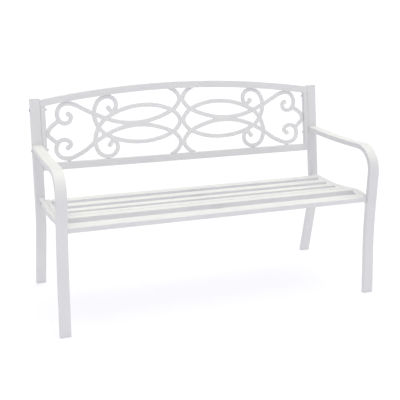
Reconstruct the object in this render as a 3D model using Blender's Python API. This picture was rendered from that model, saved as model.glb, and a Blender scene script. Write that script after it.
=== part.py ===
"""Garden bench in powder-coated steel: two tubular side frames, a slatted seat and a scrollwork back.

Metres, +Z up. The front is -Y, left is -X. Z = 0 is the ground under the foot caps.
The heights and depths below are measured from the front feet; the last step moves the
whole bench in Y so that the origin is under the middle of its bounding box.
"""
import math

import bmesh
import bpy
from mathutils import Vector
from mathutils.geometry import delaunay_2d_cdt

# ---------------------------------------------------------------- driving dimensions
LENGTH = 1.270            # over the outer faces of the side frames
GAP = 0.0003              # clearance between touching pieces
WALL = 0.0010             # tube wall
CORNER = 0.0013           # outside corner of every tube

FRAME_W = 0.040           # side frame tube, across X
FRAME_D = 0.020           # side frame tube, the other way
FRAME_X = LENGTH / 2 - FRAME_W / 2
INNER_X = FRAME_X - FRAME_W / 2

FOOT_T = 0.0030           # foot cap flange
PLUG_T = 0.0120           # how far the caps reach into the tubes

ARM_BEND_R = 0.085        # front leg to armrest bend, at the tube's middle
ARM_BEND_Y = 0.0855
ARM_BEND_Z = 0.505
LEG_POINTS = ((0.0100, 0.000), (0.0125, 0.090), (0.0165, 0.180), (0.0170, 0.255),
              (0.0135, 0.335), (0.0075, 0.415))
ARM_POINTS = ((0.152, 0.5877), (0.222, 0.5849), (0.313, 0.5834), (0.413, 0.5845), (0.545, 0.5872))
ARM_END_Z = 0.5866

RAKE = 0.262              # rear leg: forward travel per metre of height
RECLINE = 0.118           # back: rearward travel per metre of height
REAR_FOOT_Y = 0.5643      # middle of the rear leg at the ground
BACK_Y = 0.4546           # where the reclined middle plane meets the ground
REAR_BEND_R = 0.300
POST_TOP_Z = 0.7770

RAIL_D = 0.020            # back rails, front to rear
BOTTOM_RAIL_H = 0.0296
BOTTOM_RAIL_Z = 0.5054
ARCH_H = 0.0282
ARCH_Z = 0.8088           # middle of the arched rail at the bench's centre
ARCH_FALL = 0.137         # drop of the arch per metre of half length, squared
SIDE_BAR_W = 0.0195

CAST_T = 0.007            # scrollwork thickness
STRAND_W = 0.0172
SCROLL_LOW = 0.5187       # foot of the scroll drawing
SCROLL_DROP = 0.0094      # its head, below the middle of the arched rail
BLOB_R = 0.0105

SLAT_W = 0.040
SLAT_T = 0.020
SLAT_CENTRES = ((0.0270, 0.4022, 0.140), (0.1076, 0.4106, -0.055), (0.1820, 0.3985, -0.110),
                (0.2565, 0.3930, -0.060), (0.3310, 0.3924, 0.000), (0.4055, 0.3934, 0.000))
SEAT_RAIL = 0.020         # seat side rails and seat end bars, square
SEAT_RAIL_POINTS = ((0.000, 0.3545), (0.026, 0.3742), (0.046, 0.3860), (0.072, 0.3912),
                    (0.100, 0.3943), (0.132, 0.3924), (0.192, 0.3843), (0.252, 0.3777),
                    (0.305, 0.3746), (0.371, 0.3750), (0.441, 0.3758), (0.520, 0.3762))
RAIL_FRONT_Z = 0.371      # where the side rail meets the front leg
RAIL_REAR_Z = 0.3762      # where it meets the rear leg
END_BAR_Y = (0.0502, 0.4550)
CENTER_BAR_W = 0.030
CENTER_BAR_T = 0.004
CENTER_BAR_SETBACK = 0.024    # its front end, behind the first slat's front edge
CENTER_BAR_MARGIN = 0.002     # where it bends, in from each slat's edges

BOLT_R = 0.0030
HOLE_R = 0.0033
HEAD_R = 0.0058
HEAD_H = 0.0036
NUT_FLATS = 0.010
NUT_H = 0.0050
BACK_BOLT_Z = (0.573, 0.734)
SEAT_BOLT_Y = (0.0675, 0.439)

# scrollwork centre lines in the left half: (distance from the middle, height) with height
# running from -1 at the foot of the scroll drawing to +1 at its arched head
UPPER_CURL = ((0.483, 0.55), (0.4745, 0.50), (0.472, 0.43), (0.478, 0.31), (0.492, 0.26),
              (0.512, 0.30), (0.5255, 0.46), (0.528, 0.65), (0.519, 0.81), (0.501, 0.90),
              (0.477, 0.885), (0.450, 0.79), (0.415, 0.61))
LOWER_CURL = ((0.490, -0.54), (0.481, -0.49), (0.478, -0.43), (0.484, -0.33), (0.503, -0.26),
              (0.523, -0.295), (0.536, -0.44), (0.5375, -0.62), (0.526, -0.79), (0.505, -0.875),
              (0.478, -0.875), (0.448, -0.79), (0.413, -0.645))
SWEEP = ((0.377, 0.44), (0.303, 0.165), (0.235, 0.05), (0.166, 0.045), (0.100, 0.15),
         (0.045, 0.31), (0.020, 0.46), (0.0068, 0.63), (0.014, 0.79), (0.032, 0.92), (0.055, 1.02))
HEART = ((0.316, 0.565), (0.304, 0.445), (0.290, 0.490), (0.2825, 0.650), (0.295, 0.840),
         (0.326, 0.920), (0.360, 0.810), (0.376, 0.530), (0.3735, 0.230), (0.354, -0.070),
         (0.322, -0.285), (0.263, -0.460), (0.200, -0.540), (0.132, -0.530), (0.0745, -0.430),
         (0.0345, -0.295), (0.0125, -0.120), (0.0068, 0.000))
BOW = ((0.524, 0.37), (0.543, 0.28), (0.558, 0.19), (0.5677, 0.05), (0.567, -0.07),
       (0.5545, -0.18), (0.539, -0.30), (0.527, -0.33))
UPPER_LUGS = (0.495, 0.325)
LOWER_LUGS = (0.488, 0.326)
LUG_W = 0.014


# ---------------------------------------------------------------- general helpers
def clear_scene():
    for old in list(bpy.data.objects):
        bpy.data.objects.remove(old, do_unlink=True)


def material(name, rgb, roughness, metallic):
    mat = bpy.data.materials.new(name)
    mat.use_nodes = True
    shader = mat.node_tree.nodes["Principled BSDF"]
    shader.inputs["Base Color"].default_value = (rgb[0], rgb[1], rgb[2], 1.0)
    shader.inputs["Roughness"].default_value = roughness
    shader.inputs["Metallic"].default_value = metallic
    mat.diffuse_color = (rgb[0], rgb[1], rgb[2], 1.0)
    return mat


def add_object(name, verts, faces, finish):
    mesh = bpy.data.meshes.new(name)
    mesh.from_pydata([tuple(v) for v in verts], [], faces)
    work = bmesh.new()
    work.from_mesh(mesh)
    bmesh.ops.recalc_face_normals(work, faces=work.faces)
    work.to_mesh(mesh)
    work.free()
    for poly in mesh.polygons:
        poly.use_smooth = True
    mesh.set_sharp_from_angle(angle=math.radians(50))
    obj = bpy.data.objects.new(name, mesh)
    bpy.context.scene.collection.objects.link(obj)
    if finish:
        mesh.materials.append(material(name, *FINISHES[finish]))
    return obj


def rounded_section(width, depth, radius, steps):
    """Closed outline of a rounded rectangle, as (across, along normal) pairs."""
    points = []
    corners = ((1, 1, 0), (-1, 1, 90), (-1, -1, 180), (1, -1, 270))
    for sx, sy, start in corners:
        cx = sx * (width / 2 - radius)
        cy = sy * (depth / 2 - radius)
        for k in range(steps + 1):
            angle = math.radians(start + 90 * k / steps)
            points.append((cx + radius * math.cos(angle), cy + radius * math.sin(angle)))
    return points


def catmull(points, samples):
    """Smooth curve through the points, with this many samples in each span."""
    out = []
    last = len(points) - 1
    for i in range(last):
        p0 = points[i - 1] if i else tuple(2 * a - b for a, b in zip(points[0], points[1]))
        p1 = points[i]
        p2 = points[i + 1]
        p3 = points[i + 2] if i + 2 <= last else tuple(2 * a - b for a, b in zip(p2, p1))
        for k in range(samples):
            t = k / samples
            out.append(tuple(
                0.5 * (2 * b + (c - a) * t + (2 * a - 5 * b + 4 * c - d) * t * t
                       + (3 * b - a - 3 * c + d) * t * t * t)
                for a, b, c, d in zip(p0, p1, p2, p3)))
    out.append(tuple(points[-1]))
    return out


def rings_along(path, side, section, start_plane=None, end_plane=None):
    """One ring of section points at each path point, mitred at the bends.

    side is the section's first axis. A plane is (point, normal); the end ring slides
    along the tube until it lies on the plane.
    """
    path = [Vector(p) for p in path]
    side = Vector(side).normalized()
    rings = []
    for i, here in enumerate(path):
        ahead = (path[i + 1] - here).normalized() if i + 1 < len(path) else None
        behind = (here - path[i - 1]).normalized() if i else None
        tangent = ((ahead or behind) + (behind or ahead)).normalized()
        normal = side.cross(tangent).normalized()
        stretch = 1.0
        if ahead and behind:
            stretch = 1.0 / max(0.5, tangent.dot(ahead))
        rings.append([here + side * a + normal * (b * stretch) for a, b in section])
    for plane, index, inward in ((start_plane, 0, 1), (end_plane, len(path) - 1, -1)):
        if plane is None:
            continue
        origin = Vector(plane[0])
        facing = Vector(plane[1])
        along = (path[index + inward] - path[index]).normalized()
        rings[index] = [p + along * ((origin - p).dot(facing) / along.dot(facing))
                        for p in rings[index]]
    return rings


def skin(rings, offset, count):
    faces = []
    for r in range(len(rings) - 1):
        for k in range(count):
            a = offset + r * count + k
            b = offset + r * count + (k + 1) % count
            faces.append((a, b, b + count, a + count))
    return faces


def tube(name, path, side, width, depth, finish="coat", start_plane=None, end_plane=None):
    """Hollow rounded tube with open ends."""
    outer = rounded_section(width, depth, CORNER, 1)
    inner = rounded_section(width - 2 * WALL, depth - 2 * WALL, CORNER - WALL, 1)
    count = len(outer)
    outside = rings_along(path, side, outer, start_plane, end_plane)
    inside = rings_along(path, side, inner, start_plane, end_plane)
    verts = [p for ring in outside for p in ring] + [p for ring in inside for p in ring]
    half = len(outside) * count
    faces = skin(outside, 0, count) + [tuple(reversed(f)) for f in skin(inside, half, count)]
    for start in (0, (len(outside) - 1) * count):
        for k in range(count):
            a = start + k
            b = start + (k + 1) % count
            faces.append((a, b, b + half, a + half))
    return add_object(name, verts, faces, finish)


def stack(name, rings, finish):
    """Solid body lofted through a list of rings."""
    count = len(rings[0])
    verts = [p for ring in rings for p in ring]
    faces = skin(rings, 0, count)
    faces.append(tuple(range(count)))
    faces.append(tuple(range((len(rings) - 1) * count, len(rings) * count)))
    return add_object(name, verts, faces, finish)


def flat_bar(name, path, side, width, depth, finish):
    return stack(name, rings_along(path, side, rounded_section(width, depth, 0.0008, 1)), finish)


# ---------------------------------------------------------------- centre lines
def front_leg_path():
    """Front leg and armrest in one line, as (y, z): leg, bend, arm."""
    lean = math.radians(5.0)
    bend = []
    for k in range(9):
        angle = -lean + (math.radians(91.5) + lean) * k / 8
        bend.append((ARM_BEND_Y - ARM_BEND_R * math.cos(angle),
                     ARM_BEND_Z + ARM_BEND_R * math.sin(angle)))
    leg = catmull(LEG_POINTS + (bend[0],), 2)
    arm = catmull((bend[-1],) + ARM_POINTS, 2)
    return leg[:-1] + bend + arm[1:]


def depth_at(path, z):
    """Depth of a (y, z) line at a height, on its lower part."""
    for a, b in zip(path, path[1:]):
        if a[1] <= z <= b[1]:
            return a[0] + (b[0] - a[0]) * (z - a[1]) / (b[1] - a[1])
    return path[-1][0]


def rear_leg_path():
    """Raked leg, large bend and reclined post in one line, as (y, z)."""
    knee_z = (REAR_FOOT_Y - BACK_Y) / (RAKE + RECLINE)
    knee_y = BACK_Y + RECLINE * knee_z
    low = math.atan(RAKE)
    high = math.atan(RECLINE)
    reach = REAR_BEND_R * math.tan((low + high) / 2)
    start_y = knee_y + reach * math.sin(low)
    start_z = knee_z - reach * math.cos(low)
    centre_y = start_y + REAR_BEND_R * math.cos(low)
    centre_z = start_z + REAR_BEND_R * math.sin(low)
    bend = []
    for k in range(7):
        angle = low - (low + high) * k / 6
        bend.append((centre_y - REAR_BEND_R * math.cos(angle), centre_z - REAR_BEND_R * math.sin(angle)))
    return [(REAR_FOOT_Y, 0.0)] + bend + [(BACK_Y + RECLINE * POST_TOP_Z, POST_TOP_Z)]


def back_point(x, z, behind=0.0):
    """Point on the reclined middle plane of the back, or this far behind it."""
    tilt = math.atan(RECLINE)
    return Vector((x, BACK_Y + RECLINE * z + behind * math.cos(tilt), z - behind * math.sin(tilt)))


def arch_z(x):
    return ARCH_Z - ARCH_FALL * x * x


def seat_rail_z(y):
    for a, b in zip(SEAT_LINE, SEAT_LINE[1:]):
        if a[0] <= y <= b[0]:
            return a[1] + (b[1] - a[1]) * (y - a[0]) / (b[0] - a[0])
    return SEAT_LINE[-1][1]


def seat_rail_slice(low, high):
    """The seat rail's (y, z) line between two depths."""
    middle = [p for p in SEAT_LINE if low + 0.004 < p[0] < high - 0.004]
    return [(low, seat_rail_z(low))] + middle + [(high, seat_rail_z(high))]


# ---------------------------------------------------------------- side frames
def side_frame(tag, sign):
    x = sign * FRAME_X
    across = (sign, 0, 0)
    recline = Vector((0, math.cos(math.atan(RECLINE)), -math.sin(math.atan(RECLINE))))
    ground = ((0, 0, FOOT_T + GAP), (0, 0, 1))
    post_front = back_point(0, ARM_END_Z, -FRAME_D / 2 - GAP)

    leg = front_leg_path()
    keep = [p for p in leg if p[0] < post_front.y - 0.010]
    arm_end = (post_front.y, ARM_END_Z)
    tube("front_leg_arm_" + tag, [(x, y, z) for y, z in keep + [arm_end]], across, FRAME_W, FRAME_D,
         start_plane=ground, end_plane=(post_front, recline))

    post = rear_leg_path()
    tube("rear_leg_post_" + tag, [(x, y, z) for y, z in post], across, FRAME_W, FRAME_D,
         start_plane=ground)

    low = RAIL_FRONT_Z - 0.02
    high = RAIL_FRONT_Z + 0.02
    leg_slope = (depth_at(leg, high) - depth_at(leg, low)) / (high - low)
    leg_back_y = depth_at(leg, RAIL_FRONT_Z) + FRAME_D / 2 + 2 * GAP
    front_plane = ((0, leg_back_y, RAIL_FRONT_Z), (0, 1, -leg_slope))
    rail_end = back_point(0, RAIL_REAR_Z, -FRAME_D / 2 - GAP)
    rail_x = sign * (INNER_X + 0.0053 + SEAT_RAIL / 2)
    line = seat_rail_slice(leg_back_y, rail_end.y)
    tube("seat_side_rail_" + tag, [(rail_x, y, z) for y, z in line], across, SEAT_RAIL, SEAT_RAIL,
         start_plane=front_plane, end_plane=(rail_end, recline))

    for place, line in (("front", leg), ("rear", post)):
        foot_cap("foot_cap_%s_%s" % (place, tag), x, line, across)
    post_cap("post_cap_" + tag, x, post, across)


def foot_cap(name, x, line, across):
    """Flange under the tube with a plug that reaches up into it."""
    path = [(x, y, z) for y, z in line[:2]]
    outer = rounded_section(FRAME_W, FRAME_D, CORNER, 1)
    bore = rounded_section(FRAME_W - 2 * (WALL + GAP), FRAME_D - 2 * (WALL + GAP), CORNER - WALL, 1)
    levels = ((outer, 0.0, 0.90), (outer, 0.0006, 1.0), (outer, FOOT_T, 1.0),
              (bore, FOOT_T, 1.0), (bore, FOOT_T + PLUG_T, 1.0))
    rings = []
    for section, z, grow in levels:
        scaled = [(a * (1 - (1 - grow) * 0.3), b * grow) for a, b in section]
        rings.append(rings_along(path, across, scaled, start_plane=((0, 0, z), (0, 0, 1)))[0])
    stack(name, rings, "plug")


def post_cap(name, x, line, across):
    """Low domed cap on the post with a plug that reaches down into it."""
    end = Vector((x, line[-1][0], line[-1][1]))
    along = (end - Vector((x, line[-2][0], line[-2][1]))).normalized()
    outer = rounded_section(FRAME_W, FRAME_D, CORNER, 1)
    bore = rounded_section(FRAME_W - 2 * (WALL + GAP), FRAME_D - 2 * (WALL + GAP), CORNER - WALL, 1)
    levels = ((bore, -PLUG_T, 1.0), (bore, GAP, 1.0), (outer, GAP, 1.0), (outer, 0.0018, 1.0),
              (outer, 0.0026, 0.93), (outer, 0.0030, 0.80))
    rings = []
    for section, lift, grow in levels:
        low = end + along * lift
        scaled = [(a * (1 - (1 - grow) * 0.5), b * grow) for a, b in section]
        rings.append(rings_along([low, low + along], across, scaled)[0])
    stack(name, rings, "plug")


# ---------------------------------------------------------------- back
def back_frame():
    rearward = back_point(0, 0, 1.0) - back_point(0, 0)
    half = INNER_X - GAP
    stations = 14
    arch = []
    for k in range(stations + 1):
        x = -half + 2 * half * k / stations
        arch.append(back_point(x, arch_z(x)))
    left = ((-half, 0, 0), (1, 0, 0))
    right = ((half, 0, 0), (1, 0, 0))
    tube("back_top_rail", arch, rearward, RAIL_D, ARCH_H, start_plane=left, end_plane=right)
    low = [back_point(-half, BOTTOM_RAIL_Z), back_point(half, BOTTOM_RAIL_Z)]
    tube("back_bottom_rail", low, rearward, RAIL_D, BOTTOM_RAIL_H)

    bar_x = half - SIDE_BAR_W / 2
    tilt = math.atan(RECLINE)
    up = Vector((0, math.sin(tilt), math.cos(tilt)))
    foot = back_point(0, BOTTOM_RAIL_Z) + up * (BOTTOM_RAIL_H / 2 + GAP)
    slope = 2 * ARCH_FALL * bar_x
    for tag, sign in SIDES:
        head = back_point(sign * bar_x, arch_z(bar_x)) - up * (ARCH_H / 2 * math.hypot(1, slope) + 2 * GAP)
        under_arch = (head, up + Vector((sign * slope, 0, 0)))
        start = Vector((sign * bar_x, foot.y, foot.z))
        tube("back_side_bar_" + tag, [start, head], rearward, RAIL_D, SIDE_BAR_W, end_plane=under_arch)


def scroll_point(u, v):
    """Scroll coordinates to (distance from the centre, height above ground)."""
    high = arch_z(u) - SCROLL_DROP
    return (u, (SCROLL_LOW + high) / 2 + v * (high - SCROLL_LOW) / 2)


def held_in_frame(x, z):
    """Keep an outline point clear of the rails and the side bars."""
    side = INNER_X - 2 * GAP - SIDE_BAR_W
    low = BOTTOM_RAIL_Z + BOTTOM_RAIL_H / 2 + 1.5 * GAP
    high = arch_z(x) - ARCH_H / 2 - 3 * GAP
    return (min(max(x, -side), side), min(max(z, low), high))


def ribbon(line, width):
    """Quads that follow a line, each as four outline points."""
    sides = []
    for i, here in enumerate(line):
        a = line[max(i - 1, 0)]
        b = line[min(i + 1, len(line) - 1)]
        dx = b[0] - a[0]
        dz = b[1] - a[1]
        size = math.hypot(dx, dz)
        nx = -dz / size * width / 2
        nz = dx / size * width / 2
        sides.append(((here[0] + nx, here[1] + nz), (here[0] - nx, here[1] - nz)))
    return [(p[0], q[0], q[1], p[1]) for p, q in zip(sides, sides[1:])]


def disc(centre, radius, steps):
    ring = []
    for k in range(steps):
        angle = 2 * math.pi * k / steps
        ring.append((centre[0] + radius * math.cos(angle), centre[1] + radius * math.sin(angle)))
    return tuple(ring)


def strand(points, sign):
    """Ribbon along a smooth line through scroll coordinates."""
    line = [scroll_point(u, v) for u, v in catmull(points, 2)]
    return ribbon([(sign * u, z) for u, z in line], STRAND_W)


def scroll_pieces():
    """Every flat piece of the scrollwork, as outlines in (x, z)."""
    heart_low = tuple((u, -v) for u, v in reversed(HEART[:-1]))
    sweep_low = tuple((u, -v) for u, v in SWEEP)
    pieces = []
    for sign in (-1, 1):
        pieces += strand(UPPER_CURL + SWEEP, sign)
        pieces += strand(LOWER_CURL + sweep_low, sign)
        pieces += strand(HEART + heart_low, sign)
        pieces += strand(BOW, sign)
        for u, v in (UPPER_CURL[0], LOWER_CURL[0], HEART[0], heart_low[-1]):
            end = scroll_point(u, v)
            pieces.append(disc((sign * end[0], end[1]), BLOB_R, 12))
        for lugs, edge in ((UPPER_LUGS, 1), (LOWER_LUGS, -1)):
            for u in lugs:
                top = scroll_point(u, edge * 1.02)[1]
                low = scroll_point(u, edge * 0.86)[1]
                left = sign * u - LUG_W / 2
                right = sign * u + LUG_W / 2
                pieces.append(((left, low), (right, low), (right, top), (left, top)))
    return pieces


def covered(point, outlines):
    """True if the point lies inside any of the counter-clockwise convex outlines."""
    for outline in outlines:
        edges = zip(outline, outline[1:] + outline[:1])
        if all((b - a).cross(point - a) >= 0 for a, b in edges):
            return True
    return False


def scroll_panel():
    """One casting: the overlapping strands merged in plan, then given their thickness."""
    verts = []
    faces = []
    for piece in scroll_pieces():
        points = [held_in_frame(x, z) for x, z in piece]
        area = sum(a[0] * b[1] - b[0] * a[1] for a, b in zip(points, points[1:] + points[:1]))
        if abs(area) < 1e-8:
            continue
        if area < 0:
            points.reverse()
        faces.append(tuple(range(len(verts), len(verts) + len(points))))
        verts += [Vector(p) for p in points]
    outlines = [[verts[i] for i in face] for face in faces]
    flat, _, cells, _, _, _ = delaunay_2d_cdt(verts, [], faces, 0, 2e-5, True)
    solid = [cell for cell in cells if covered(sum((flat[i] for i in cell), Vector((0, 0))) / 3, outlines)]
    used = sorted({i for cell in solid for i in cell})
    index = {old: new for new, old in enumerate(used)}
    count = len(used)
    body = [back_point(flat[i].x, flat[i].y, -CAST_T / 2) for i in used]
    body += [back_point(flat[i].x, flat[i].y, CAST_T / 2) for i in used]
    skin_faces = []
    edges = {}
    for cell in solid:
        loop = [index[i] for i in cell]
        skin_faces.append(tuple(loop))
        skin_faces.append(tuple(i + count for i in reversed(loop)))
        for a, b in zip(loop, loop[1:] + loop[:1]):
            edges[(a, b)] = edges.get((a, b), 0) + 1
    for a, b in sorted(edges):
        if (b, a) not in edges:
            skin_faces.append((b, a, a + count, b + count))
    add_object("back_scroll_panel", body, skin_faces, "coat")


# ---------------------------------------------------------------- seat
def seat():
    clear = LENGTH / 2 - FRAME_W - GAP
    end_x = INNER_X + 0.0053 - GAP - SEAT_RAIL / 2
    slat_half = end_x - SEAT_RAIL / 2 - GAP
    under = []
    for k, (y, top, slope) in enumerate(SLAT_CENTRES):
        half = clear if k == 0 else slat_half
        tilt = math.atan(slope)
        across = Vector((0, math.cos(tilt), math.sin(tilt)))
        down = Vector((0, math.sin(tilt), -math.cos(tilt)))
        middle = Vector((0, y, top)) + down * SLAT_T / 2
        path = [middle + Vector((-half, 0, 0)), middle + Vector((half, 0, 0))]
        tube("seat_slat_%d" % (k + 1), path, across, SLAT_W, SLAT_T)
        drop = down * (SLAT_T / 2 + GAP + CENTER_BAR_T / 2)
        front = CENTER_BAR_SETBACK if k == 0 else CENTER_BAR_MARGIN
        under.append(middle + across * (front - SLAT_W / 2) + drop)
        under.append(middle + across * (SLAT_W / 2 - CENTER_BAR_MARGIN) + drop)
    flat_bar("seat_center_bar", under, (1, 0, 0), CENTER_BAR_W, CENTER_BAR_T, "coat")

    line = seat_rail_slice(*END_BAR_Y)
    for tag, sign in SIDES:
        tube("seat_end_bar_" + tag, [(sign * end_x, y, z) for y, z in line], (sign, 0, 0),
             SEAT_RAIL, SEAT_RAIL, start_plane=((0, END_BAR_Y[0], 0), (0, 1, 0)),
             end_plane=((0, END_BAR_Y[1], 0), (0, 1, 0)))


# ---------------------------------------------------------------- bolts and nuts
def x_rings(centre, sign, profile, steps):
    """Rings about a line along X: profile holds (distance outward, radius)."""
    rings = []
    for x, radius in profile:
        ring = []
        for k in range(steps):
            angle = 2 * math.pi * (k + 0.5) / steps
            ring.append(Vector((sign * x, centre[0] + radius * math.cos(angle),
                                centre[1] + radius * math.sin(angle))))
        rings.append(ring)
    return rings


def bolt(name, sign, centre, seat_x, end_x):
    """Button-head bolt: head outside at seat_x, shank in to end_x."""
    profile = ((end_x, BOLT_R * 0.75), (end_x + 0.0007, BOLT_R), (seat_x, BOLT_R), (seat_x, HEAD_R),
               (seat_x + 0.0012, HEAD_R), (seat_x + 0.0028, HEAD_R * 0.80), (seat_x + HEAD_H, HEAD_R * 0.42))
    stack(name, x_rings(centre, sign, profile, 14), "zinc")


def nut(name, sign, centre, face_x):
    """Hexagon nut whose bearing face is at face_x, with a clear bore."""
    count = 12
    verts = []
    for x in (face_x, face_x - NUT_H):
        for hexagon in (True, False):
            for k in range(count):
                angle = 2 * math.pi * k / count
                radius = HOLE_R
                if hexagon:
                    radius = NUT_FLATS / 2 / math.cos(math.radians(30)) if k % 2 == 0 else NUT_FLATS / 2
                verts.append((sign * x, centre[0] + radius * math.cos(angle),
                              centre[1] + radius * math.sin(angle)))
    faces = []
    for k in range(count):
        n = (k + 1) % count
        outer, bore, far_outer, far_bore = 0, count, 2 * count, 3 * count
        faces.append((outer + k, outer + n, far_outer + n, far_outer + k))
        faces.append((bore + n, bore + k, far_bore + k, far_bore + n))
        faces.append((outer + n, outer + k, bore + k, bore + n))
        faces.append((far_outer + k, far_outer + n, far_bore + n, far_bore + k))
    add_object(name, verts, faces, "zinc")


def fasteners():
    """Bolts and nuts, and the drill that opens their holes in the tubes."""
    drill_verts = []
    drill_faces = []
    for tag, sign in SIDES:
        for place, z in zip(("lower", "upper"), BACK_BOLT_Z):
            centre = (BACK_Y + RECLINE * z, z)
            inner = INNER_X - GAP - SIDE_BAR_W - GAP
            bolt("back_bolt_%s_%s" % (place, tag), sign, centre, LENGTH / 2 + GAP, inner - NUT_H - 0.003)
            nut("back_nut_%s_%s" % (place, tag), sign, centre, inner)
            drill(drill_verts, drill_faces, sign, centre, inner - 0.004, LENGTH / 2 + 0.004)
        for place, y in zip(("front", "rear"), SEAT_BOLT_Y):
            centre = (y, seat_rail_z(y))
            outer = INNER_X + 0.0053 + SEAT_RAIL + GAP
            inner = outer - 2 * SEAT_RAIL - 3 * GAP
            bolt("seat_bolt_%s_%s" % (place, tag), sign, centre, outer, inner - NUT_H - 0.003)
            nut("seat_nut_%s_%s" % (place, tag), sign, centre, inner)
            drill(drill_verts, drill_faces, sign, centre, inner - 0.004, outer + 0.004)
    cutter = add_object("bolt_hole_drill", drill_verts, drill_faces, None)
    cutter.hide_render = True
    cutter.display_type = "WIRE"
    for stem in ("rear_leg_post_", "back_side_bar_", "seat_side_rail_", "seat_end_bar_"):
        for tag, _ in SIDES:
            cut = bpy.data.objects[stem + tag].modifiers.new("bolt_holes", "BOOLEAN")
            cut.operation = "DIFFERENCE"
            cut.solver = "EXACT"
            cut.object = cutter


def drill(verts, faces, sign, centre, low, high):
    count = 12
    rings = x_rings(centre, sign, ((low, HOLE_R), (high, HOLE_R)), count)
    base = len(verts)
    verts += [p for ring in rings for p in ring]
    faces += skin(rings, base, count)
    faces.append(tuple(range(base, base + count)))
    faces.append(tuple(range(base + count, base + 2 * count)))


# ---------------------------------------------------------------- build
def centre_on_origin():
    """Move everything in Y so that the bounding box is centred over the origin."""
    depths = [v.co.y for obj in bpy.data.objects if not obj.hide_render for v in obj.data.vertices]
    shift = -(min(depths) + max(depths)) / 2
    for obj in bpy.data.objects:
        for v in obj.data.vertices:
            v.co.y += shift
        obj.data.update()


SIDES = (("left", -1), ("right", 1))
FINISHES = {
    "coat": ((0.86, 0.86, 0.85), 0.42, 0.0),
    "plug": ((0.80, 0.80, 0.79), 0.55, 0.0),
    "zinc": ((0.78, 0.78, 0.77), 0.35, 0.6),
}
SEAT_LINE = catmull(SEAT_RAIL_POINTS, 1)

clear_scene()
for frame_tag, frame_sign in SIDES:
    side_frame(frame_tag, frame_sign)
back_frame()
scroll_panel()
seat()
fasteners()
centre_on_origin()
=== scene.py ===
"""Looks for the garden bench: rounded tubes, a cast scroll panel, weld beads, socket bolts,
powder-coat materials, a pale studio and the camera. Metres, +Z up, the front is -Y.

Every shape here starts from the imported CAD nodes, so nothing is moved or resized.
"""
import math

import bmesh
import bpy
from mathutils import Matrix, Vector
from mathutils.bvhtree import BVHTree
from mathutils.geometry import convex_hull_2d


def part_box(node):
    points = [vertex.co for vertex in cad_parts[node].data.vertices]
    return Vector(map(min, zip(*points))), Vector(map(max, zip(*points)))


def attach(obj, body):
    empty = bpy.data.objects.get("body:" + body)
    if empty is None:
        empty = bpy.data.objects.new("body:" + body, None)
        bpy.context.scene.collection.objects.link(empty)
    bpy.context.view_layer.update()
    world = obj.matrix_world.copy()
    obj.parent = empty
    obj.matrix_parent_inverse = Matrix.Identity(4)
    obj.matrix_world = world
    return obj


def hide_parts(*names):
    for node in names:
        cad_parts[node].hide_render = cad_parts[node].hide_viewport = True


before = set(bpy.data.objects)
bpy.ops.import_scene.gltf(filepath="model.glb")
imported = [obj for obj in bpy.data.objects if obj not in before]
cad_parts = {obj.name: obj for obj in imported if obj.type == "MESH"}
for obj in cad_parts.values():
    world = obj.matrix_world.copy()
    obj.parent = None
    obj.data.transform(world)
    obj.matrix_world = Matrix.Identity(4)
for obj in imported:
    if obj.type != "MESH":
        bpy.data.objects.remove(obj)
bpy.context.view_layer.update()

BODY = "root"
SIDES = (("left", -1), ("right", 1))

# ---------------------------------------------------------------- sizes
MERGE = 2e-5
SMOOTH_BELOW = 40         # degrees: edges duller than this are shaded smooth
BEAD_SMOOTH_BELOW = 80
HOLLOW_REACH = 0.045      # a face whose normal meets its own tube within this is an inner wall
RAY_LIFT = 1e-5           # rays start this far off their face
TUBE_ROUND = 0.0006       # rounding added on each side of the tube's corner edges
SMALL_ROUND = 0.0004
NUT_ROUND = 0.00035
SHARP_EDGE = 30           # degrees: sharper edges are rounded
FLAT_EDGE = 0.4           # degrees: flatter edges are dissolved
CAST_VOXEL = 0.0014       # scroll panel: remesh size
CAST_SMOOTH = 4
CAST_KEEP = 0.5

BEAD_R = 0.0017           # weld beads
SMALL_BEAD_R = 0.0012
BEAD_SIDES = 7
BEAD_STEP = 0.0010
BEAD_PITCH = 0.0030       # one ripple
BEAD_RIPPLE = 0.16
BEAD_WANDER = 0.10        # slower change of the bead's size
WANDER_RATE = 330         # radians per metre along the bead
WANDER_START = (90, 70)   # radians per metre of x and y, so that the beads don't all wander alike
BEAD_END = 0.45           # size of an open bead's first and last ring
WELD_REACH = 0.002        # the casting is welded where it is this close to its frame
WELD_BREAK = 0.008        # a wider gap starts a new bead
WELD_LEAST = 0.004
OVERHEAD = 2.0            # a height clear over the whole bench

BOLT_SIDES = 24
SOCKET_R = 0.0021         # hexagon socket in the bolt heads
SOCKET_DEPTH = 0.0018
SOCKET_RIM = 0.0002       # height of its chamfer, which is wider than the socket by the next number
SOCKET_MOUTH = 1.13
HEAD_HEIGHT = 0.62        # head height and shank radius, for a head radius of 1
SHANK = 0.517
HEAD_EDGE = 0.0010        # straight part of the head, under its dome
HEAD_CHAMFER = 0.0003     # under the head, down to this share of its radius
HEAD_FOOT = 0.95
HEAD_STEPS = 6
DOME_START = 14           # degrees
THREAD_STEP = 0.0005
THREAD_START = 0.0007     # the thread's first and last ring, from the shank's end
THREAD_END = 0.0080
THREAD_DEPTH = 0.94       # radius at its roots and at the shank's tip, for a shank radius of 1
SHANK_TIP = 0.75

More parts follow.
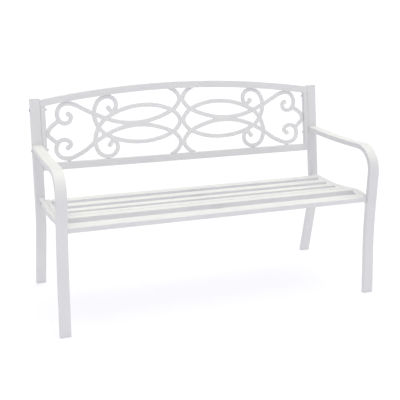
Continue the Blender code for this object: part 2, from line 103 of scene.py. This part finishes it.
HORIZON = 0.27            # studio: the walls are white up to this sine of the height
HORIZON_FADE = 0.06
WALL_LIGHT = (0.51, 0.505, 0.70)
DARK_WALL = (0.38, 0.38, 0.50)
DARK_SIDE = (-0.9, -0.15)  # between these sines to the left, the dark wall fades into the light one
CEILING_POWER = 2.35
CEILING_COLOUR = (1.0, 1.0, 0.73)
CEILING_LEAN = (0.0, math.radians(8), 0.0)
CEILING_SOFTNESS = math.radians(70)
FLOOR_REACH = 60.0
FLOOR_DROP = 0.0002
FLOOR_GLOW = 0.69
FLOOR_COLOUR = (0.30, 0.30, 0.33, 1.0)

CAMERA_YAW = math.radians(19.93)
CAMERA_PITCH = math.radians(11.34)
CAMERA_PLACE = (-1.060, -2.9006, 1.239)
CAMERA_LENS = 71.34
CAMERA_SHIFT = -0.15      # vertical shift, of the picture's width

TUBES = [name + "_" + tag for tag, _ in SIDES
         for name in ("front_leg_arm", "rear_leg_post", "back_side_bar", "seat_side_rail", "seat_end_bar")]
TUBES += ["back_top_rail", "back_bottom_rail"]
SLATS = ["seat_slat_%d" % k for k in range(1, 7)]
TUBES += SLATS
CAPS = ["foot_cap_%s_%s" % (end, tag) for end in ("front", "rear") for tag, _ in SIDES]
CAPS += ["post_cap_" + tag for tag, _ in SIDES]
BOLTS = [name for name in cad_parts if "_bolt_" in name]
NUTS = [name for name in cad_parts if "_nut_" in name]


# ---------------------------------------------------------------- materials
WHITE = (1, 1, 1)
SPECK = (0.94, 0.94, 0.93)
# painted shade: the tint multiplied into concave corners so they look shaded
PAINTED_CORNER_SHADE = (0.93, 0.93, 0.9207)
WORN_EDGE = (0.965, 0.965, 0.96)
CLOUD_SCALE = 7.0
SPECK_SCALE = 420.0
GLOSS_SCALE = 26.0
ROUGH_UP = 0.05           # how far the roughness strays from a material's own
ROUGH_DOWN = 0.06
PEEL_STRENGTH = 0.35
COAT_ROUGH = 0.25
SHINE = 0.22              # a satin coat, duller than bare plastic


def node(tree, kind, **values):
    """Adds a shader node, setting each value on the input of that name or on the node itself."""
    item = tree.nodes.new(kind)
    for key, value in values.items():
        if key in item.inputs:
            item.inputs[key].default_value = value
        else:
            setattr(item, key, value)
    return item


def noise(tree, place, scale, detail=3.0):
    """Noise in the piece's own coordinates."""
    made = node(tree, "ShaderNodeTexNoise", Scale=scale, Detail=detail)
    tree.links.new(place.outputs["Object"], made.inputs["Vector"])
    return made.outputs["Fac"]


def ramp(tree, source, low, high, first, last):
    """Colour ramp with two stops."""
    made = node(tree, "ShaderNodeValToRGB")
    for stop, position, colour in zip(made.color_ramp.elements, (low, high), (first, last)):
        stop.position = position
        stop.color = (*colour, 1.0)
    tree.links.new(source, made.inputs["Fac"])
    return made.outputs["Color"]


def multiply(tree, first, second):
    made = node(tree, "ShaderNodeMix", data_type="RGBA", blend_type="MULTIPLY")
    made.inputs["Factor"].default_value = 1.0
    tree.links.new(first, made.inputs["A"])
    tree.links.new(second, made.inputs["B"])
    return made.outputs["Result"]


def finish_material(name, light, shade, rough, peel_scale, peel_depth, coat, metallic=0.0):
    """Cloudy colour, fine specks, worn edges, painted shade in concave corners, uneven gloss and a fine
    peel.
    """
    mat = bpy.data.materials.new(name)
    mat.use_nodes = True
    tree = mat.node_tree
    shader = tree.nodes["Principled BSDF"]
    place = node(tree, "ShaderNodeTexCoord")

    clouds = ramp(tree, noise(tree, place, CLOUD_SCALE), 0.30, 0.70, shade, light)
    specks = ramp(tree, noise(tree, place, SPECK_SCALE, 2.0), 0.24, 0.34, SPECK, WHITE)
    edges = node(tree, "ShaderNodeNewGeometry").outputs["Pointiness"]
    # painted shade: concave corners (low pointiness) are darkened as if shade fell there
    corners = ramp(tree, edges, 0.40, 0.50, PAINTED_CORNER_SHADE, WHITE)
    worn = ramp(tree, edges, 0.55, 0.68, WHITE, WORN_EDGE)
    colour = clouds
    for layer in (specks, corners, worn):
        colour = multiply(tree, colour, layer)
    tree.links.new(colour, shader.inputs["Base Color"])

    dull = (rough + ROUGH_UP,) * 3
    bright = (rough - ROUGH_DOWN,) * 3
    gloss = ramp(tree, noise(tree, place, GLOSS_SCALE), 0.32, 0.68, bright, dull)
    tree.links.new(gloss, shader.inputs["Roughness"])

    peel = node(tree, "ShaderNodeBump", Strength=PEEL_STRENGTH, Distance=peel_depth)
    tree.links.new(noise(tree, place, peel_scale, 2.0), peel.inputs["Height"])
    tree.links.new(peel.outputs["Normal"], shader.inputs["Normal"])

    shader.inputs["Metallic"].default_value = metallic
    shader.inputs["Specular IOR Level"].default_value = SHINE
    shader.inputs["Coat Weight"].default_value = coat
    shader.inputs["Coat Roughness"].default_value = COAT_ROUGH
    return mat


# per material: name, light and shaded colour, roughness, peel scale and depth, coat, metallic
FINISHES = {
    "coat": ("white_powder_coat", (0.725, 0.725, 0.72), (0.695, 0.695, 0.695),
             0.52, 650.0, 0.0003, 0.02, 0.0),
    "cast": ("white_coated_casting", (0.76, 0.76, 0.75), (0.72, 0.72, 0.715),
             0.54, 380.0, 0.0005, 0.02, 0.0),
    "plug": ("white_moulded_plastic", (0.75, 0.75, 0.74), (0.71, 0.71, 0.70),
             0.55, 900.0, 0.0002, 0.0, 0.0),
    "nut": ("white_coated_nut", (0.75, 0.75, 0.74), (0.70, 0.70, 0.69),
            0.42, 800.0, 0.0002, 0.0, 0.0),
    # bolts: partly a grey plated finish, partly painted shade; the colour is darkened to stand in for the
    # shadow on the heads
    "bolt": ("grey_coated_bolt", (0.60, 0.60, 0.61), (0.52, 0.52, 0.53),
             0.36, 800.0, 0.0002, 0.0, 0.5),
}
MATERIALS = {key: finish_material(*finish) for key, finish in FINISHES.items()}


# ---------------------------------------------------------------- pieces
def add_piece(name, mesh, material, replaced=()):
    """Links a visible piece, which takes the place of the CAD nodes in replaced."""
    mesh.materials.clear()
    mesh.materials.append(MATERIALS[material])
    piece = bpy.data.objects.new(name, mesh)
    bpy.context.scene.collection.objects.link(piece)
    if replaced:
        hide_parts(*replaced)
    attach(piece, BODY)
    return piece


def mesh_from(work, name, smooth_angle=SMOOTH_BELOW):
    """Turns the bmesh into a mesh that is smooth below the angle, in degrees."""
    mesh = bpy.data.meshes.new(name)
    bmesh.ops.recalc_face_normals(work, faces=work.faces)
    work.to_mesh(mesh)
    work.free()
    for poly in mesh.polygons:
        poly.use_smooth = True
    mesh.set_sharp_from_angle(angle=math.radians(smooth_angle))
    return mesh


def joined_copy(name):
    """A bmesh of the CAD node with its split corners joined again."""
    work = bmesh.new()
    work.from_mesh(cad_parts[name].data)
    bmesh.ops.remove_doubles(work, verts=work.verts, dist=MERGE)
    bmesh.ops.recalc_face_normals(work, faces=work.faces)
    return work


def round_edges(work, width):
    """Merges the flat stretches, then rounds the sharp edges."""
    bmesh.ops.dissolve_limit(work, angle_limit=math.radians(FLAT_EDGE), verts=work.verts, edges=work.edges)
    edges = [e for e in work.edges
             if len(e.link_faces) == 2 and e.calc_face_angle() > math.radians(SHARP_EDGE)]
    bmesh.ops.bevel(work, geom=edges, offset=width, offset_type="OFFSET", segments=2,
                    profile=0.5, affect="EDGES", clamp_overlap=False)


def weight_normals(piece):
    """Keeps the flats between rounded edges looking flat."""
    shading = piece.modifiers.new("flat_faces", "WEIGHTED_NORMAL")
    shading.keep_sharp = True


def rounded_tube(name):
    """The tube's outer skin with closed, welded-over ends and rounded corners."""
    work = joined_copy(name)
    tree = BVHTree.FromBMesh(work)
    inner = []
    for face in work.faces:
        start = face.calc_center_median() + face.normal * RAY_LIFT
        if tree.ray_cast(start, face.normal, HOLLOW_REACH)[0] is not None:
            inner.append(face)
    bmesh.ops.delete(work, geom=inner, context="FACES")
    bmesh.ops.holes_fill(work, edges=[e for e in work.edges if e.is_boundary], sides=0)
    bmesh.ops.recalc_face_normals(work, faces=work.faces)
    round_edges(work, TUBE_ROUND)
    weight_normals(add_piece(name + "_finished", mesh_from(work, name), "coat", (name,)))


def softened(name, material, width=SMALL_ROUND):
    """A solid node with its edges rounded."""
    work = joined_copy(name)
    round_edges(work, width)
    weight_normals(add_piece(name + "_finished", mesh_from(work, name), material, (name,)))


def applied(piece, kind, **values):
    """Adds one modifier, applies it and keeps the result as the mesh."""
    modifier = piece.modifiers.new(kind.lower(), kind)
    for key, value in values.items():
        setattr(modifier, key, value)
    graph = bpy.context.evaluated_depsgraph_get()
    mesh = bpy.data.meshes.new_from_object(piece.evaluated_get(graph))
    piece.modifiers.clear()
    piece.data = mesh


def cast_panel(name):
    """The scrollwork as one casting, with rounded strands and small fillets where they cross."""
    work = joined_copy(name)
    piece = bpy.data.objects.new(name + "_casting", mesh_from(work, name))
    bpy.context.scene.collection.objects.link(piece)
    applied(piece, "REMESH", mode="VOXEL", voxel_size=CAST_VOXEL, use_smooth_shade=True)
    applied(piece, "SMOOTH", factor=0.5, iterations=CAST_SMOOTH)
    applied(piece, "DECIMATE", ratio=CAST_KEEP)
    mesh = piece.data
    bpy.data.objects.remove(piece)
    for poly in mesh.polygons:
        poly.use_smooth = True
    add_piece(name + "_casting", mesh, "cast", (name,))


# ---------------------------------------------------------------- weld beads
def corner_points(name):
    """The CAD node's vertices, each once."""
    return {tuple(round(c, 6) for c in v.co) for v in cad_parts[name].data.vertices}


def end_ring(name, direction):
    """The eight outer corners of a tube's end, in order round it; the inner eight are left out."""
    direction = Vector(direction).normalized()
    points = sorted((Vector(p) for p in corner_points(name)), key=lambda p: -p.dot(direction))[:16]
    first = direction.orthogonal().normalized()
    second = direction.cross(first)
    flat = [Vector((p.dot(first), p.dot(second))) for p in points]
    return [points[i] for i in convex_hull_2d(flat)]


def along(path, closed):
    """Points at even steps along a path."""
    corners = list(path) + ([path[0]] if closed else [])
    lengths = [(b - a).length for a, b in zip(corners, corners[1:])]
    total = sum(lengths)
    count = max(2, round(total / BEAD_STEP))
    out = []
    for k in range(count if closed else count + 1):
        left = total * k / count
        for a, b, size in zip(corners, corners[1:], lengths):
            if left <= size or (a, b) == (corners[-2], corners[-1]):
                out.append(a.lerp(b, min(1.0, left / size) if size else 0.0))
                break
            left -= size
    return out


def add_bead(work, path, radius, closed):
    """A rippled weld bead along a path, joined into the bmesh."""
    line = along(path, closed)
    angles = [2 * math.pi * s / BEAD_SIDES for s in range(BEAD_SIDES)]
    start = path[0].x * WANDER_START[0] + path[0].y * WANDER_START[1]
    rings = []
    for k, here in enumerate(line):
        before = line[k - 1] if closed or k else here
        after = line[(k + 1) % len(line)] if closed or k + 1 < len(line) else here
        tangent = (after - before).normalized()
        out = tangent.orthogonal().normalized()
        up = tangent.cross(out)
        travel = k * BEAD_STEP
        size = radius * (1 + BEAD_RIPPLE * math.sin(2 * math.pi * travel / BEAD_PITCH)
                         + BEAD_WANDER * math.sin(travel * WANDER_RATE + start))
        if not closed and k in (0, len(line) - 1):
            size *= BEAD_END
        rings.append([here + (out * math.cos(a) + up * math.sin(a)) * size for a in angles])
    loops = [[work.verts.new(p) for p in ring] for ring in rings]
    pairs = list(zip(loops, loops[1:]))
    if closed:
        pairs.append((loops[-1], loops[0]))
    for a, b in pairs:
        turned = [b[turn:] + b[:turn] for turn in range(BEAD_SIDES)]
        nearest = min(turned, key=lambda c: sum((p.co - q.co).length for p, q in zip(a, c)))
        for s in range(BEAD_SIDES):
            n = (s + 1) % BEAD_SIDES
            work.faces.new((a[s], a[n], nearest[n], nearest[s]))
    if not closed:
        work.faces.new(loops[0])
        work.faces.new(loops[-1])


def surface(name):
    """A search tree of a CAD node's faces."""
    work = joined_copy(name)
    tree = BVHTree.FromBMesh(work)
    work.free()
    return tree


def top_at(tree, x, y):
    """Height of the surface over one point, or None beside it."""
    place = tree.ray_cast(Vector((x, y, OVERHEAD)), Vector((0, 0, -1)))[0]
    return place.z if place else None


def add_welds(name, work):
    add_piece(name, mesh_from(work, name, BEAD_SMOOTH_BELOW), "coat")


def slat_welds():
    """A bead round each slat's end, nowhere over the top of the end bar it meets. Slat 1 meets none."""
    work = bmesh.new()
    for tag, sign in SIDES:
        bar = "seat_end_bar_" + tag
        bar_surface = surface(bar)
        low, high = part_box(bar)
        x = (low.x + high.x) / 2
        for slat in SLATS:
            path = []
            for corner in end_ring(slat, (sign, 0, 0)):
                top = None if slat == SLATS[0] else top_at(bar_surface, x, corner.y)
                z = corner.z if top is None else min(corner.z, top)
                path.append(Vector((corner.x, corner.y, z)))
            add_bead(work, path, BEAD_R, True)
    add_welds("seat_slat_welds", work)


def back_lean():
    """About how far the back leans to the rear per metre of height, from its bars' boxes."""
    low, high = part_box("back_side_bar_left")
    rail_low, rail_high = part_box("back_bottom_rail")
    return (high.y - low.y - rail_high.y + rail_low.y) / (high.z - low.z)


def frame_welds():
    """Beads where the arms and the seat rails meet the legs, and in the corners of the back."""
    tilt = back_lean()
    up = Vector((0, tilt, 1)).normalized()
    rearward = Vector((0, 1, -tilt)).normalized()
    side_work = bmesh.new()
    back_work = bmesh.new()
    for tag, _ in SIDES:
        add_bead(side_work, end_ring("front_leg_arm_" + tag, rearward), BEAD_R, True)
        add_bead(side_work, end_ring("seat_side_rail_" + tag, (0, -1, 0)), BEAD_R, True)
        add_bead(side_work, end_ring("seat_side_rail_" + tag, rearward), BEAD_R, True)
        add_bead(back_work, end_ring("back_side_bar_" + tag, up), SMALL_BEAD_R, True)
        add_bead(back_work, end_ring("back_side_bar_" + tag, -up), SMALL_BEAD_R, True)
    add_welds("side_frame_welds", side_work)
    add_welds("back_corner_welds", back_work)


def runs(row, axis):
    """Splits points in order along an axis wherever the next one is far off."""
    groups = []
    for q in sorted(row, key=lambda q: q[axis]):
        if groups and q[axis] - groups[-1][-1][axis] < WELD_BREAK:
            groups[-1].append(q)
        else:
            groups.append([q])
    return groups


def panel_welds():
    """Short beads, front and back, wherever the casting meets the frame round it."""
    work = bmesh.new()
    lean = back_lean()
    points = corner_points("back_scroll_panel")
    for neighbour, axis in (("back_top_rail", 0), ("back_bottom_rail", 0),
                            ("back_side_bar_left", 2), ("back_side_bar_right", 2)):
        target = surface(neighbour)
        touching = []
        for p in points:
            place = target.find_nearest(Vector(p), WELD_REACH)[0]
            if place:
                touching.append((p[1] - lean * p[2], place))
        middle = sum(depth for depth, _ in touching) / len(touching)
        for face in (-1, 1):
            row = [place for depth, place in touching if (depth - middle) * face > 0]
            for group in runs(row, axis):
                if len(group) > 1 and (group[-1] - group[0]).length > WELD_LEAST:
                    add_bead(work, [group[0], group[-1]], SMALL_BEAD_R, False)
    add_welds("scroll_panel_welds", work)


# ---------------------------------------------------------------- fasteners
def bolt_profile(inner, outer, head_r):
    """Rings from the socket's bottom round the head and down the shank: (x, radius, shape)."""
    shank_r = head_r * SHANK
    seat = outer - head_r * HEAD_HEIGHT
    circle = [1.0] * BOLT_SIDES
    hexagon = [math.cos(math.radians(30)) / math.cos(math.radians((k * 360 / BOLT_SIDES) % 60 - 30))
               for k in range(BOLT_SIDES)]
    profile = [(outer - SOCKET_DEPTH, SOCKET_R, hexagon), (outer - SOCKET_RIM, SOCKET_R, hexagon),
               (outer, SOCKET_R * SOCKET_MOUTH, hexagon)]
    dome = seat + HEAD_EDGE
    for step in range(HEAD_STEPS + 1):
        angle = math.radians(DOME_START + (90 - DOME_START) * step / HEAD_STEPS)
        profile.append((dome + (outer - dome) * math.cos(angle), head_r * math.sin(angle), circle))
    profile += [(seat + HEAD_CHAMFER, head_r, circle), (seat, head_r * HEAD_FOOT, circle),
                (seat, shank_r, circle)]
    threads = math.ceil((THREAD_END - THREAD_START) / THREAD_STEP)
    for k in range(threads):
        travel = THREAD_START + k * THREAD_STEP
        deep = round(travel / THREAD_STEP) % 2
        profile.append((inner + THREAD_START + THREAD_END - travel,
                        shank_r * (THREAD_DEPTH if deep else 1.0), circle))
    profile.append((inner, shank_r * SHANK_TIP, circle))
    return profile


def socket_bolt(name):
    """Button-head bolt with a hexagon socket and a ribbed shank, in the CAD bolt's place."""
    low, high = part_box(name)
    sign = 1 if high.x > 0 else -1
    inner, outer = sorted((abs(low.x), abs(high.x)))
    centre = ((low.y + high.y) / 2, (low.z + high.z) / 2)
    work = bmesh.new()
    loops = []
    for x, radius, shape in bolt_profile(inner, outer, (high.z - low.z) / 2):
        ring = []
        for k in range(BOLT_SIDES):
            angle = 2 * math.pi * k / BOLT_SIDES
            ring.append(work.verts.new((sign * x, centre[0] + radius * shape[k] * math.cos(angle),
                                        centre[1] + radius * shape[k] * math.sin(angle))))
        loops.append(ring)
    for a, b in zip(loops, loops[1:]):
        for k in range(BOLT_SIDES):
            n = (k + 1) % BOLT_SIDES
            work.faces.new((a[k], a[n], b[n], b[k]))
    work.faces.new(loops[0])
    work.faces.new(loops[-1])
    add_piece(name + "_finished", mesh_from(work, name), "bolt", (name,))


# ---------------------------------------------------------------- build the looks
for tube_name in TUBES:
    rounded_tube(tube_name)
for cap_name in CAPS:
    softened(cap_name, "plug")
for nut_name in NUTS:
    softened(nut_name, "nut", NUT_ROUND)
for bolt_name in BOLTS:
    socket_bolt(bolt_name)
softened("seat_center_bar", "coat")
cast_panel("back_scroll_panel")
slat_welds()
frame_welds()
panel_welds()


# ---------------------------------------------------------------- studio
def sky(tree, background):
    """White low down; over it the studio's walls, the left one darker."""
    place = node(tree, "ShaderNodeTexCoord")
    split = node(tree, "ShaderNodeSeparateXYZ")
    tree.links.new(place.outputs["Generated"], split.inputs["Vector"])
    side = node(tree, "ShaderNodeMapRange", **{"From Min": DARK_SIDE[0], "From Max": DARK_SIDE[1]})
    tree.links.new(split.outputs["X"], side.inputs["Value"])
    wall = ramp(tree, side.outputs["Result"], 0.0, 1.0, DARK_WALL, WALL_LIGHT)
    height = ramp(tree, split.outputs["Z"], HORIZON, HORIZON + HORIZON_FADE, (0, 0, 0), WHITE)
    blend = node(tree, "ShaderNodeMix", data_type="RGBA")
    blend.inputs["A"].default_value = (1.0, 1.0, 1.0, 1.0)
    tree.links.new(height, blend.inputs["Factor"])
    tree.links.new(wall, blend.inputs["B"])
    tree.links.new(blend.outputs["Result"], background.inputs["Color"])


def add_floor():
    """White paper that glows enough to hide most of the shadows on it."""
    corners = [(x * FLOOR_REACH, y * FLOOR_REACH, 0) for x, y in ((-1, -1), (1, -1), (1, 1), (-1, 1))]
    floor_mesh = bpy.data.meshes.new("studio_floor")
    floor_mesh.from_pydata(corners, [], [(0, 1, 2, 3)])
    floor = bpy.data.objects.new("studio_floor", floor_mesh)
    floor.location.z = -FLOOR_DROP
    bpy.context.scene.collection.objects.link(floor)
    paper = bpy.data.materials.new("studio_paper")
    paper.use_nodes = True
    shader = paper.node_tree.nodes["Principled BSDF"]
    shader.inputs["Base Color"].default_value = FLOOR_COLOUR
    shader.inputs["Emission Color"].default_value = (1, 1, 1, 1)
    shader.inputs["Emission Strength"].default_value = FLOOR_GLOW
    shader.inputs["Roughness"].default_value = 0.9
    shader.inputs["Specular IOR Level"].default_value = 0.0
    floor_mesh.materials.append(paper)


def add_lights():
    world = bpy.data.worlds.new("studio_world")
    world.use_nodes = True
    sky(world.node_tree, world.node_tree.nodes["Background"])
    bpy.context.scene.world = world

    ceiling = bpy.data.lights.new("ceiling_softbox", "SUN")
    ceiling.energy = CEILING_POWER
    ceiling.color = CEILING_COLOUR
    ceiling.angle = CEILING_SOFTNESS
    holder = bpy.data.objects.new("ceiling_softbox", ceiling)
    holder.rotation_euler = CEILING_LEAN
    bpy.context.scene.collection.objects.link(holder)


def add_camera():
    """At chest height, in front and to the left, looking down a little, with a vertical shift."""
    eye = bpy.data.cameras.new("studio_camera")
    eye.sensor_width = 36.0
    eye.lens = CAMERA_LENS
    eye.shift_y = CAMERA_SHIFT
    holder = bpy.data.objects.new("studio_camera", eye)
    forward = Vector((math.sin(CAMERA_YAW) * math.cos(CAMERA_PITCH),
                      math.cos(CAMERA_YAW) * math.cos(CAMERA_PITCH), -math.sin(CAMERA_PITCH)))
    holder.location = CAMERA_PLACE
    holder.rotation_euler = forward.to_track_quat("-Z", "Y").to_euler()
    bpy.context.scene.collection.objects.link(holder)
    bpy.context.scene.camera = holder


add_floor()
add_lights()
add_camera()
bpy.context.scene.view_settings.view_transform = "Standard"
